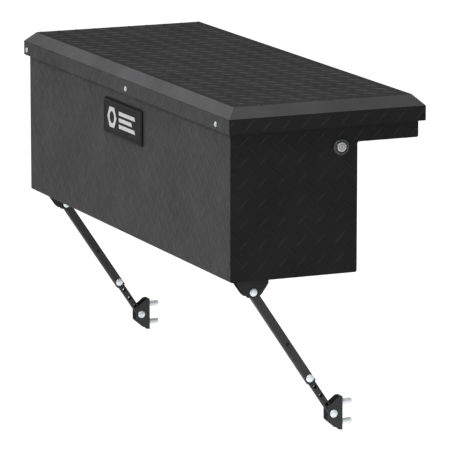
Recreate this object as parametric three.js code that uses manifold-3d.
// Side-mount truck tool box: a sheet-metal box that hangs by its ledge on a bed rail,
// with a hinged lid, an end push-button lock and two telescoping brace legs.
// Millimetres, +Z up. Origin: centre of the ledge's underside, where it rests on the rail.
// +X runs to the lock end, +Y outwards over the rail.

import * as THREE from 'three';
import Module from 'manifold-3d';
import { mergeVertices } from 'three/addons/utils/BufferGeometryUtils.js';

// ---- driving dimensions -------------------------------------------------

const SHEET = 1.6;            // tread-plate thickness
const GAP = 0.3;              // space between touching pieces
const BEND_RADIUS = 4;        // outer radius of the folded corners

const BODY = { halfLength: 595, depth: 300.6, bottom: -288.3, rimTop: 62, rimWidth: 22 };
const LEDGE_DEPTH = 146.5;
const LID = { halfLength: 609.6, flangeBottom: 37.9, flangeHeight: 32.9, rise: 23.2 };
const LID_OVERHANG = { front: 9.6, rear: 11 };
const LID_CHAMFER = { end: 26.7, side: 22.3 };
const LINER = { bottom: 68.5, thickness: 1.2 };
const SEAL = { inset: 6, width: 12 };

const LID_RIVET = { x: [-590, 30, 538], z: 50.9, head: 6, dome: 3, shank: 2.4 };
const BADGE = { x: -2, z: -29.1, width: 224, height: 82, thickness: 5.5, bevel: 3 };

const HINGE = { z: 41, knuckle: 3.2, bore: 1.8, pin: 1.5, leaf: 1.5, segments: 8, halfLength: 585 };
const LEAF_HEIGHT = 16;

const LOCK = { y: -113, z: -8.2, bezel: 18.4, bezelHeight: 6, barrel: 14, button: 11, key: 6 };
const LATCH_BAR = { z: 42, radius: 4, x: [541, 567] };
const HOOK = { y: -131, z: 20, x: 552.5, thickness: 5, hub: 9, reach: 43.2, catchRadius: 35.2 };
const TRIGGER = { x: 566, z: 22, thickness: 4, width: 16, hub: 6 };
const LATCH_FRAME = { y: [-150, -80], z: [14, 56], depth: 38, plate: 3 };

const STRUT = { x: 551, anchorY: -253.45, anchorZ: -202.1, lidY: -288.45, lidZ: 32.9 };
const STRUT_BODY = { radius: 9, length: 160, rod: 4, eye: 9, eyeWidth: 9, stroke: 112 };

const LEG = { x: 550, pivotY: -305.5, pivotZ: -320.2, lean: 33.83, length: 348 };
const OUTER_TUBE = { size: 19.05, wall: 1.65, top: 12, end: 259.5, spareHole: 149.4, lockHole: 246.4 };
const INNER_TUBE = { size: 14.3, wall: 1.65, top: 110, overrun: 12, pitch: 25.4 };
const BRACKET = { halfWidth: 12.7, thickness: 2.8, halfTop: 36.5, shoulder: 17.3, halfFoot: 17, drop: 11.7 };
const FOOT = { web: 21.9, halfHeight: 38.5, boltSpacing: 44.45 };
const BOLT = { shank: 4, head: 8.9, dome: 4.5, nut: 7.3, nutHeight: 6.5 };
const WALL_NUT = { radius: 6.8, collar: 8.6, collarHeight: 3.5, length: 25.4 };

// ---- worked-out places --------------------------------------------------

const ledgeRear = LEDGE_DEPTH / 2;
const bodyRear = -ledgeRear;
const bodyFront = bodyRear - BODY.depth;
const lidFront = bodyFront - LID_OVERHANG.front;
const lidRear = ledgeRear + LID_OVERHANG.rear;
const lidShoulder = LID.flangeBottom + LID.flangeHeight;
const lidTop = lidShoulder + LID.rise;
const hingeY = (lidFront + SHEET + bodyFront) / 2;
const endInside = BODY.halfLength - SHEET;
const holeRadius = BOLT.shank + GAP;

// ---- solids -------------------------------------------------------------

const wasm = await Module();
wasm.setup();

function toSolid(geometry) {
  const bare = geometry.clone();
  bare.deleteAttribute('normal');
  bare.deleteAttribute('uv');
  const merged = mergeVertices(bare, 1e-4);
  const triVerts = Uint32Array.from(merged.index.array);
  const vertProperties = Float32Array.from(merged.attributes.position.array);
  let solid = new wasm.Manifold(new wasm.Mesh({ numProp: 3, vertProperties, triVerts }));
  if (solid.volume() < 0) {
    for (let i = 0; i < triVerts.length; i += 3) {
      [triVerts[i + 1], triVerts[i + 2]] = [triVerts[i + 2], triVerts[i + 1]];
    }
    solid = new wasm.Manifold(new wasm.Mesh({ numProp: 3, vertProperties, triVerts }));
  }
  return solid;
}

function toGeometry(solid) {
  const mesh = solid.getMesh();
  const geometry = new THREE.BufferGeometry();
  geometry.setAttribute('position', new THREE.BufferAttribute(mesh.vertProperties, 3));
  geometry.setIndex(new THREE.BufferAttribute(mesh.triVerts, 1));
  geometry.computeVertexNormals();
  return geometry;
}

const join = (first, ...rest) => rest.reduce((whole, piece) => whole.add(piece), first);
const cut = (first, ...rest) => rest.reduce((whole, piece) => whole.subtract(piece), first);

// A box from its lowest corner to its highest.
function box([x0, y0, z0], [x1, y1, z1]) {
  const geometry = new THREE.BoxGeometry(x1 - x0, y1 - y0, z1 - z0);
  geometry.translate((x0 + x1) / 2, (y0 + y1) / 2, (z0 + z1) / 2);
  return toSolid(geometry);
}

const turnTo = {
  x: (geometry) => geometry.rotateZ(-Math.PI / 2),
  y: (geometry) => geometry,
  z: (geometry) => geometry.rotateX(Math.PI / 2),
};

// A round bar along one axis, from start to end, through the point (a, b) of the other two axes.
function bar(axis, start, end, radius, [a, b] = [0, 0], sides = 14) {
  const geometry = turnTo[axis](new THREE.CylinderGeometry(radius, radius, end - start, sides));
  const middle = (start + end) / 2;
  const place = { x: [middle, a, b], y: [a, middle, b], z: [a, b, middle] }[axis];
  return toSolid(geometry.translate(...place));
}

// A turned piece: profile points are [radius, distance along the axis].
function turned(axis, profile, sides = 24) {
  const points = profile.map(([radius, along]) => new THREE.Vector2(radius, along));
  return toSolid(turnTo[axis](new THREE.LatheGeometry(points, sides)));
}

// A (y, z) outline pushed along X from x0 to x1.
function slab(outline, x0, x1) {
  const shape = new THREE.Shape(outline.map(([y, z]) => new THREE.Vector2(y, z)));
  const geometry = new THREE.ExtrudeGeometry(shape, { depth: x1 - x0, bevelEnabled: false });
  const sideways = new THREE.Matrix4().makeBasis(
    new THREE.Vector3(0, 1, 0), new THREE.Vector3(0, 0, 1), new THREE.Vector3(1, 0, 0));
  geometry.applyMatrix4(sideways);
  return toSolid(geometry.translate(x0, 0, 0));
}

// A closed stack of rectangles, lowest first, centred on x = 0.
function stack(levels) {
  const positions = [];
  for (const { z, halfX, y0, y1 } of levels) {
    positions.push(-halfX, y0, z, halfX, y0, z, halfX, y1, z, -halfX, y1, z);
  }
  const index = [0, 2, 1, 0, 3, 2];
  for (let level = 0; level < levels.length - 1; level += 1) {
    for (let side = 0; side < 4; side += 1) {
      const a = 4 * level + side;
      const b = 4 * level + (side + 1) % 4;
      index.push(a, b, b + 4, a, b + 4, a + 4);
    }
  }
  const top = 4 * (levels.length - 1);
  index.push(top, top + 1, top + 2, top, top + 2, top + 3);
  const geometry = new THREE.BufferGeometry();
  geometry.setAttribute('position', new THREE.Float32BufferAttribute(positions, 3));
  geometry.setIndex(index);
  return toSolid(geometry);
}

// Rounds each inner corner of a (y, z) path with an arc of the bend radius.
function bend(path, radius, steps = 4) {
  const rounded = [path[0]];
  for (let i = 1; i < path.length - 1; i += 1) {
    const corner = new THREE.Vector2(...path[i]);
    const back = new THREE.Vector2(...path[i - 1]).sub(corner).normalize();
    const ahead = new THREE.Vector2(...path[i + 1]).sub(corner).normalize();
    const centre = corner.clone().addScaledVector(back, radius).addScaledVector(ahead, radius);
    for (let step = 0; step <= steps; step += 1) {
      const turn = (step / steps) * Math.PI / 2;
      const point = centre.clone()
        .addScaledVector(ahead, -radius * Math.cos(turn))
        .addScaledVector(back, -radius * Math.sin(turn));
      rounded.push([point.x, point.y]);
    }
  }
  rounded.push(path[path.length - 1]);
  return rounded;
}

// The outline of a sheet folded along a path, its thickness to the left of the path.
function foldedSheet(path, thickness) {
  const points = path.map(([y, z]) => new THREE.Vector2(y, z));
  const normals = points.slice(1).map((point, i) => {
    const along = point.clone().sub(points[i]).normalize();
    return new THREE.Vector2(-along.y, along.x);
  });
  const inner = points.map((point, i) => {
    const before = normals[Math.max(i - 1, 0)];
    const after = normals[Math.min(i, normals.length - 1)];
    const mitre = before.clone().add(after).divideScalar(1 + before.dot(after));
    return point.clone().addScaledVector(mitre, thickness);
  });
  return [...points, ...inner.reverse()].map(({ x, y }) => [x, y]);
}

// ---- materials ----------------------------------------------------------

const finish = (color, roughness, metalness) =>
  new THREE.MeshStandardMaterial({ color, roughness, metalness });
const treadPlate = finish(0x2a2b2d, 0.55, 0.1);
const plainSheet = finish(0x33353a, 0.55, 0.2);
const legPaint = finish(0x2c2c2e, 0.6, 0.1);
const zinc = finish(0xd5dadb, 0.35, 0.8);
const bezelMetal = finish(0x4a4b4d, 0.4, 0.6);
const buttonMetal = finish(0x9a9b9d, 0.35, 0.7);
const badgePlastic = finish(0x202123, 0.5, 0);
const rubber = finish(0x151515, 0.9, 0);
const foam = finish(0xb9b4a6, 0.95, 0);
const strutBlack = finish(0x101113, 0.35, 0.2);
const rodSteel = finish(0xb4b8bb, 0.2, 0.9);

const toolBox = new THREE.Group();

function part(name, solid, material, parent = toolBox) {
  const mesh = new THREE.Mesh(toGeometry(solid), material);
  mesh.name = name;
  parent.add(mesh);
}

function groupAt(position, leanDegrees = 0, parent = toolBox) {
  const group = new THREE.Group();
  group.position.set(...position);
  group.rotation.x = THREE.MathUtils.degToRad(leanDegrees);
  parent.add(group);
  return group;
}

// ---- body ---------------------------------------------------------------

const wallPath = bend([
  [bodyFront, BODY.rimTop],
  [bodyFront, BODY.bottom],
  [bodyRear, BODY.bottom],
  [bodyRear, 0],
  [ledgeRear, 0],
  [ledgeRear, BODY.rimTop],
], BEND_RADIUS);

function bodyWrap() {
  const { rimTop, rimWidth } = BODY;
  const path = [[bodyFront + rimWidth, rimTop], ...wallPath, [ledgeRear - rimWidth, rimTop]];
  return slab(foldedSheet(path, SHEET), GAP - endInside, endInside - GAP);
}

// One end plate, folded inwards along its top as a rim; sign is the end it closes.
function bodyEnd(sign) {
  const across = (a, b) => [Math.min(sign * a, sign * b), Math.max(sign * a, sign * b)];
  const [plateLow, plateHigh] = across(endInside, BODY.halfLength);
  const [rimLow, rimHigh] = across(BODY.halfLength - BODY.rimWidth, endInside + SHEET / 2);
  const rim = box(
    [rimLow, bodyFront + BODY.rimWidth + GAP, BODY.rimTop - SHEET],
    [rimHigh, ledgeRear - BODY.rimWidth - GAP, BODY.rimTop]);
  return join(slab(wallPath, plateLow, plateHigh), rim);
}

function weatherSeal() {
  const ring = (inset, z0, z1) => box(
    [inset - BODY.halfLength, bodyFront + inset, z0],
    [BODY.halfLength - inset, ledgeRear - inset, z1]);
  const low = BODY.rimTop + GAP;
  const high = LINER.bottom - GAP;
  return cut(ring(SEAL.inset, low, high), ring(SEAL.inset + SEAL.width, low - 1, high + 1));
}

function badgePlate() {
  const { width, height, thickness, bevel } = BADGE;
  const plate = stack([
    { z: 0, halfX: width / 2, y0: -height / 2, y1: height / 2 },
    { z: thickness - bevel, halfX: width / 2, y0: -height / 2, y1: height / 2 },
    { z: thickness, halfX: width / 2 - bevel, y0: bevel - height / 2, y1: height / 2 - bevel },
  ]);
  return plate;
}

part('body_wrap', bodyWrap(), treadPlate);
part('left_body_end', bodyEnd(-1), treadPlate);
const lockHole = bar('x', endInside - 1, BODY.halfLength + 1, LOCK.barrel + GAP, [LOCK.y, LOCK.z], 24);
part('right_body_end', cut(bodyEnd(1), lockHole), treadPlate);
part('weather_seal', weatherSeal(), rubber);
const badgeSeat = groupAt([BADGE.x, bodyFront - GAP, BADGE.z], 90);
part('badge_plate', badgePlate(), badgePlastic, badgeSeat);

// ---- lid ----------------------------------------------------------------

// The lid's outer form, drawn in by an inset and cut to a height range.
function lidForm(inset, bottom, top = lidTop - inset) {
  const edge = { halfX: LID.halfLength - inset, y0: lidFront + inset, y1: lidRear - inset };
  const slope = (LID_CHAMFER.side / LID.rise);
  const shoulder = lidShoulder - inset * (Math.hypot(1, slope) - slope);
  const climb = (top - shoulder) / LID.rise;
  return stack([
    { z: bottom, ...edge },
    { z: shoulder, ...edge },
    {
      z: top,
      halfX: edge.halfX - climb * LID_CHAMFER.end,
      y0: edge.y0 + climb * LID_CHAMFER.side,
      y1: edge.y1 - climb * LID_CHAMFER.side,
    },
  ]);
}

function lidShell() {
  const holes = LID_RIVET.x.map((x) =>
    bar('y', lidFront - 1, lidFront + SHEET + 1, LID_RIVET.shank + GAP, [x, LID_RIVET.z], 12));
  return cut(lidForm(0, LID.flangeBottom), lidForm(SHEET, LID.flangeBottom - 1), ...holes);
}

function lidLiner() {
  const inset = SHEET + GAP;
  return box(
    [inset - LID.halfLength, lidFront + inset, LINER.bottom],
    [LID.halfLength - inset, lidRear - inset, LINER.bottom + LINER.thickness]);
}

// The core fills the lid above its liner.
function lidCore() {
  const bottom = LINER.bottom + LINER.thickness + GAP;
  const below = box([-LID.halfLength, lidFront, 0], [LID.halfLength, lidRear, bottom]);
  return cut(lidForm(SHEET + GAP, LID.flangeBottom), below);
}

function lidRivet() {
  const { head, dome, shank } = LID_RIVET;
  const round = [0, 40, 90].map((degrees) => {
    const angle = THREE.MathUtils.degToRad(degrees);
    return [head * Math.cos(angle), -GAP - dome * Math.sin(angle)];
  });
  round[round.length - 1][0] = 0;
  return turned('y', [[0, SHEET - GAP], [shank, SHEET - GAP], [shank, -GAP], ...round], 14);
}

part('lid_shell', lidShell(), treadPlate);
part('lid_liner', lidLiner(), plainSheet);
part('lid_core', lidCore(), foam);
LID_RIVET.x.forEach((x, i) => {
  part(`lid_rivet_${i + 1}`, lidRivet(), zinc, groupAt([x, lidFront, LID_RIVET.z]));
});

// ---- full-length lid hinge ----------------------------------------------

// One leaf with every other knuckle; towards is the side its plate lies on, first its first knuckle.
function hingeLeaf(towards, plateY, height, first) {
  const { z, knuckle, bore, leaf, segments, halfLength } = HINGE;
  const low = z + knuckle + GAP;
  const plate = box(
    [-halfLength, Math.min(plateY, plateY + towards * leaf), low],
    [halfLength, Math.max(plateY, plateY + towards * leaf), low + height]);
  const step = 2 * halfLength / segments;
  const knuckles = [];
  for (let i = first; i < segments; i += 2) {
    const start = -halfLength + i * step + GAP;
    const end = start + step - 2 * GAP;
    const tube = bar('x', start, end, knuckle, [hingeY, z], 12);
    const reach = towards > 0 ? [hingeY + bore, plateY + leaf] : [plateY - leaf, hingeY - bore];
    knuckles.push(join(tube, box([start, reach[0], z], [end, reach[1], low + 1])));
  }
  const hole = bar('x', -halfLength - 1, halfLength + 1, bore, [hingeY, z], 10);
  return cut(join(plate, ...knuckles), hole);
}

part('hinge_leaf_body', hingeLeaf(1, bodyFront - GAP - HINGE.leaf, LEAF_HEIGHT, 0), plainSheet);
part('hinge_leaf_lid', hingeLeaf(-1, lidFront + SHEET + GAP + HINGE.leaf, LEAF_HEIGHT, 1), plainSheet);
part('hinge_pin', bar('x', -HINGE.halfLength, HINGE.halfLength, HINGE.pin, [hingeY, HINGE.z], 10), zinc);

// ---- push-button lock in the end plate, measured from the plate's face ---

function lockHousing() {
  const { bezel, bezelHeight, barrel, button } = LOCK;
  const bore = button + GAP;
  const back = -20;
  return turned('x', [
    [holeRadius, back], [barrel, back], [barrel, GAP], [bezel, GAP], [bezel, 3],
    [bezel - 2.4, bezelHeight], [bezel - 4, bezelHeight], [bezel - 5.2, 3.4], [bore, 3.4],
    [bore, back + 4], [holeRadius, back + 4], [holeRadius, back],
  ], 24);
}

function lockNut() {
  const hexagon = bar('x', -SHEET - GAP - 5, -SHEET - GAP, 18, [0, 0], 6);
  return cut(hexagon, bar('x', -20, 1, LOCK.barrel + GAP, [0, 0], 24));
}

const buttonFace = 6.8;
const stemEnd = TRIGGER.x + TRIGGER.thickness / 2 + 2 * GAP - BODY.halfLength;

function pushButton() {
  const seat = LOCK.key + GAP;
  return turned('x', [
    [0, stemEnd], [BOLT.shank - 1, stemEnd], [BOLT.shank, stemEnd + 1], [BOLT.shank, -9],
    [LOCK.button, -9],
    [LOCK.button, buttonFace - 1], [LOCK.button - 1, buttonFace], [seat, buttonFace],
    [seat, -5], [0, -5],
  ], 24);
}

function keyCylinder() {
  const plug = turned('x', [[0, -4.7], [LOCK.key, -4.7], [LOCK.key, buttonFace], [0, buttonFace]], 16);
  return cut(plug, box([buttonFace - 3, -0.8, -3.6], [buttonFace + 1, 0.8, 3.6]));
}

const lockSeat = groupAt([BODY.halfLength, LOCK.y, LOCK.z]);
part('lock_housing', lockHousing(), bezelMetal, lockSeat);
part('lock_nut', lockNut(), zinc, lockSeat);
part('push_button', pushButton(), buttonMetal, lockSeat);
part('key_cylinder', keyCylinder(), buttonMetal, lockSeat);

// ---- latch inside the end plate -----------------------------------------

function latchFrame() {
  const { y, z, depth, plate } = LATCH_FRAME;
  const outer = endInside - GAP;
  const base = box([outer - plate, y[0], z[0]], [outer, y[1], z[1]]);
  const ears = [[y[0], y[0] + plate], [y[1] - plate, y[1]]].map(([low, high]) =>
    box([outer - depth, low, z[0]], [outer, high, TRIGGER.z + 12]));
  const hookPin = bar('x', HOOK.x - HOOK.thickness / 2 - 3, outer - 1, BOLT.shank, [HOOK.y, HOOK.z]);
  const triggerPin = bar('y', y[0] + 1, y[1] - 1, 2.5, [TRIGGER.x, TRIGGER.z], 16);
  return join(base, ...ears, hookPin, triggerPin);
}

function triggerLever() {
  const { x, z, thickness, width, hub } = TRIGGER;
  const [low, high] = [LOCK.y - width / 2, LOCK.y + width / 2];
  const arm = box([x - thickness / 2, low, LOCK.z - 7], [x + thickness / 2, high, z + 10]);
  const sleeve = bar('y', low, high, hub, [x, z], 14);
  return cut(join(arm, sleeve), bar('y', low - 1, high + 1, 2.8, [x, z], 16));
}

// The hook's nose is a ring sector round its own pin, so it passes over the striker bar.
function latchHook() {
  const { thickness, hub, reach, catchRadius } = HOOK;
  const polar = (radius, degrees) => {
    const angle = THREE.MathUtils.degToRad(degrees);
    return [radius * Math.cos(angle), radius * Math.sin(angle)];
  };
  const [tip, shankFront, shankBack] = [74, 94, 110];
  const outline = [
    polar(hub - 2, shankBack + 40),
    polar(hub - 2, shankFront - 45),
    ...[shankFront, 87, 80.5, tip].map((angle) => polar(catchRadius, angle)),
    ...[tip, 86, 98, shankBack].map((angle) => polar(reach, angle)),
  ];
  const plate = slab(outline, -thickness / 2, thickness / 2);
  const boss = bar('x', -thickness / 2, thickness / 2, hub);
  return cut(join(plate, boss), bar('x', -thickness, thickness, holeRadius, [0, 0]));
}

function latchStriker() {
  const { z, radius, x } = LATCH_BAR;
  const top = LINER.bottom - GAP;
  const base = box([x[0] - 6, LOCK.y - 20, top - 2.5], [x[1] + 5, LOCK.y + 20, top]);
  const legs = x.map((place) => bar('z', z, top - 1, radius, [place, LOCK.y]));
  return join(base, ...legs, bar('x', x[0] - radius, x[1] + radius, radius, [LOCK.y, z]));
}

part('latch_frame', latchFrame(), plainSheet);
part('trigger_lever', triggerLever(), zinc);
part('latch_hook', latchHook(), zinc, groupAt([HOOK.x, HOOK.y, HOOK.z]));
part('latch_striker', latchStriker(), zinc);

// ---- gas struts between the end plates and the lid -----------------------

function strutCylinder() {
  const { radius, length, rod, eye, eyeWidth } = STRUT_BODY;
  const tube = join(
    bar('z', 14, length, radius, [0, 0], 16), bar('z', 5, 16, eyeWidth / 2),
    bar('x', -eyeWidth / 2, eyeWidth / 2, eye));
  const chamber = join(
    bar('z', 22, length - 8, radius - 1.3, [0, 0], 16), bar('z', 26, length + 1, rod + GAP));
  return cut(tube, chamber, bar('x', -eyeWidth, eyeWidth, holeRadius));
}

function strutRod(length) {
  const { radius, rod, eye, eyeWidth } = STRUT_BODY;
  const piston = bar('z', 26, 34, radius - 1.3 - GAP, [0, 0], 16);
  const end = bar('x', -eyeWidth / 2, eyeWidth / 2, eye, [0, length]);
  const shaft = bar('z', 27, length - 5, rod);
  return cut(join(shaft, piston, end), bar('x', -eyeWidth, eyeWidth, holeRadius, [0, length]));
}

// A turned stand-off: flange on the end plate, post, then the stud the strut turns on.
function strutAnchor(sign) {
  const base = sign * (endInside - GAP - STRUT.x);
  const studEnd = -sign * (STRUT_BODY.eyeWidth / 2 + 1);
  const shoulder = sign * (STRUT_BODY.eyeWidth / 2 + 1);
  return turned('x', [
    [0, base], [18, base], [18, base - sign * 3], [7, base - sign * 3], [7, shoulder],
    [BOLT.shank, shoulder], [BOLT.shank, studEnd], [0, studEnd],
  ], 14);
}

// The lid's bracket stops short of the rod's eye, beside it.
function strutBracket(sign) {
  const top = LINER.bottom - GAP;
  const plateX = STRUT.x + STRUT_BODY.eyeWidth / 2 + 6.5;
  const across = (a, b) => [Math.min(sign * a, sign * b), Math.max(sign * a, sign * b)];
  const [plateLow, plateHigh] = across(plateX, plateX + 3);
  const [padLow, padHigh] = across(plateX - 22, plateX + 3);
  const [studLow, studHigh] = across(STRUT.x + STRUT_BODY.eyeWidth / 2 + 2, plateX + 1);
  const [y0, y1] = [STRUT.lidY - 12, STRUT.lidY + 12];
  return join(
    box([plateLow, y0, STRUT.lidZ - 9], [plateHigh, y1, top]),
    box([padLow, y0, top - 3], [padHigh, y1, top]),
    bar('x', studLow, studHigh, BOLT.shank, [STRUT.lidY, STRUT.lidZ]));
}

const strutLength = Math.hypot(STRUT.lidY - STRUT.anchorY, STRUT.lidZ - STRUT.anchorZ);
const strutLean = THREE.MathUtils.radToDeg(
  Math.atan2(STRUT.anchorY - STRUT.lidY, STRUT.lidZ - STRUT.anchorZ));

for (const [side, sign] of [['left', -1], ['right', 1]]) {
  const anchor = [sign * STRUT.x, STRUT.anchorY, STRUT.anchorZ];
  part(`${side}_strut_anchor`, strutAnchor(sign), zinc, groupAt(anchor));
  const strut = groupAt(anchor, strutLean);
  part(`${side}_strut_cylinder`, strutCylinder(), strutBlack, strut);
  part(`${side}_strut_rod`, strutRod(strutLength), rodSteel, strut);
  part(`${side}_strut_bracket`, strutBracket(sign), plainSheet);
}

// ---- brace legs -----------------------------------------------------------

function squareTube(size, wall, top, bottom) {
  const half = size / 2;
  const inner = half - wall;
  return cut(
    box([-half, -half, bottom], [half, half, top]),
    box([-inner, -inner, bottom - 1], [inner, inner, top + 1]));
}

const crossHole = (z, sides = 10) => bar('x', -20, 20, holeRadius, [0, z], sides);

function outerTube() {
  const { size, wall, top, end, spareHole, lockHole: lock } = OUTER_TUBE;
  return cut(
    squareTube(size, wall, top, -end), crossHole(0), crossHole(-spareHole), crossHole(-lock));
}

function innerTube() {
  const { size, wall, top, overrun, pitch } = INNER_TUBE;
  const holes = [];
  for (let z = -LEG.length; z < -top - 8; z += pitch) holes.push(crossHole(z));
  return cut(squareTube(size, wall, -top, -LEG.length - overrun), ...holes);
}

// Domed head with a shank, along the axis; the head's seat is at seat, the shank ends at end.
function bolt(axis, seat, end) {
  const way = Math.sign(seat - end);
  const dome = [0, 35, 65, 90].map((degrees) => {
    const angle = THREE.MathUtils.degToRad(degrees);
    return [BOLT.head * Math.cos(angle), seat + way * (0.8 + (BOLT.dome - 0.8) * Math.sin(angle))];
  });
  dome[dome.length - 1][0] = 0;
  return turned(axis, [[0, end], [BOLT.shank, end], [BOLT.shank, seat], [BOLT.head, seat], ...dome], 14);
}

// A hexagon nut along X from its seat towards -X, on a shank of the bolt's size.
function nut(seat) {
  return cut(
    bar('x', seat - BOLT.nutHeight, seat, BOLT.nut, [0, 0], 6), bar('x', seat - 20, seat + 1, holeRadius));
}

// The upper bracket: a U with its web under the box floor and its two ears down.
function legBracket() {
  const { halfWidth, thickness, halfTop, shoulder, halfFoot, drop } = BRACKET;
  const webTop = BODY.bottom - GAP - LEG.pivotZ;
  const corner = 4;
  const ear = [
    [halfTop, webTop], [-halfTop, webTop], [-halfTop, shoulder], [-halfFoot - corner, corner - drop + 3],
    [-halfFoot + corner, -drop], [halfFoot - corner, -drop], [halfFoot + corner, corner - drop + 3],
    [halfTop, shoulder],
  ];
  const inside = halfWidth - thickness;
  const channel = box([-inside, -halfTop - 1, -drop - 1], [inside, halfTop + 1, webTop - thickness]);
  return cut(slab(ear, -halfWidth, halfWidth), channel, crossHole(0, 14));
}

// The foot: a U whose web stands against the bed wall, its ears round the inner tube.
function footBracket() {
  const { web, halfHeight, boltSpacing } = FOOT;
  const ear = [
    [web, halfHeight - 1.5], [web - 8.5, halfHeight - 2.2], [-13.4, 15.5], [-13.4, -14.5],
    [-10, -18.2], [13, 0.7 - halfHeight], [web, -halfHeight],
  ];
  const inside = BRACKET.halfWidth - BRACKET.thickness;
  const channel = box([-inside, -30, -halfHeight - 1], [inside, web - BRACKET.thickness, halfHeight + 1]);
  const wallHoles = [-1, 1].map((side) =>
    bar('y', web - 10, web + 1, holeRadius, [0, side * boltSpacing / 2]));
  return cut(slab(ear, -BRACKET.halfWidth, BRACKET.halfWidth), channel, crossHole(0, 14), ...wallHoles);
}

function wallNut() {
  const seat = FOOT.web + GAP;
  const { radius, collar, collarHeight, length } = WALL_NUT;
  return turned('y', [
    [holeRadius, seat], [collar, seat], [collar - 0.6, seat + collarHeight],
    [radius, seat + collarHeight], [radius, seat + length - 1], [radius - 1, seat + length],
    [holeRadius, seat + length], [holeRadius, seat],
  ], 14);
}

const lean = THREE.MathUtils.degToRad(LEG.lean);
const footY = LEG.pivotY + LEG.length * Math.sin(lean);
const footZ = LEG.pivotZ - LEG.length * Math.cos(lean);
const earSeat = BRACKET.halfWidth + GAP;
const tubeSeat = OUTER_TUBE.size / 2 + GAP;
const tubeStop = INNER_TUBE.size / 2 + GAP;
const throughEnd = -earSeat - BOLT.nutHeight - 2;

function buildLeg(side, x) {
  const top = groupAt([x, LEG.pivotY, LEG.pivotZ]);
  part(`${side}_leg_bracket`, legBracket(), legPaint, top);
  part(`${side}_leg_pivot_bolt`, bolt('x', earSeat, throughEnd), zinc, top);
  part(`${side}_leg_pivot_nut`, nut(-earSeat), zinc, top);

  const leg = groupAt([x, LEG.pivotY, LEG.pivotZ], LEG.lean);
  part(`${side}_leg_outer_tube`, outerTube(), legPaint, leg);
  part(`${side}_leg_inner_tube`, innerTube(), legPaint, leg);
  const lock = groupAt([0, 0, -OUTER_TUBE.lockHole], 0, leg);
  part(`${side}_leg_lock_bolt`, bolt('x', tubeSeat, tubeStop), zinc, lock);
  const stub = bar('x', -tubeSeat - BOLT.nutHeight - 2, -tubeStop, BOLT.shank);
  const lockNutBody = bar('x', -tubeSeat - BOLT.nutHeight, -tubeSeat, BOLT.nut, [0, 0], 6);
  part(`${side}_leg_lock_nut`, join(lockNutBody, stub), zinc, lock);

  const foot = groupAt([x, footY, footZ]);
  part(`${side}_foot_bracket`, footBracket(), legPaint, foot);
  part(`${side}_foot_bolt`, bolt('x', earSeat, throughEnd), zinc, foot);
  part(`${side}_foot_nut`, nut(-earSeat), zinc, foot);
  for (const [level, way] of [['upper', 1], ['lower', -1]]) {
    const wall = groupAt([0, 0, way * FOOT.boltSpacing / 2], 0, foot);
    const headSeat = FOOT.web - BRACKET.thickness - GAP;
    part(`${side}_wall_bolt_${level}`, bolt('y', headSeat, FOOT.web + WALL_NUT.length), zinc, wall);
    part(`${side}_wall_nut_${level}`, wallNut(), zinc, wall);
  }
}

buildLeg('left', -LEG.x);
buildLeg('right', LEG.x);

export default toolBox;
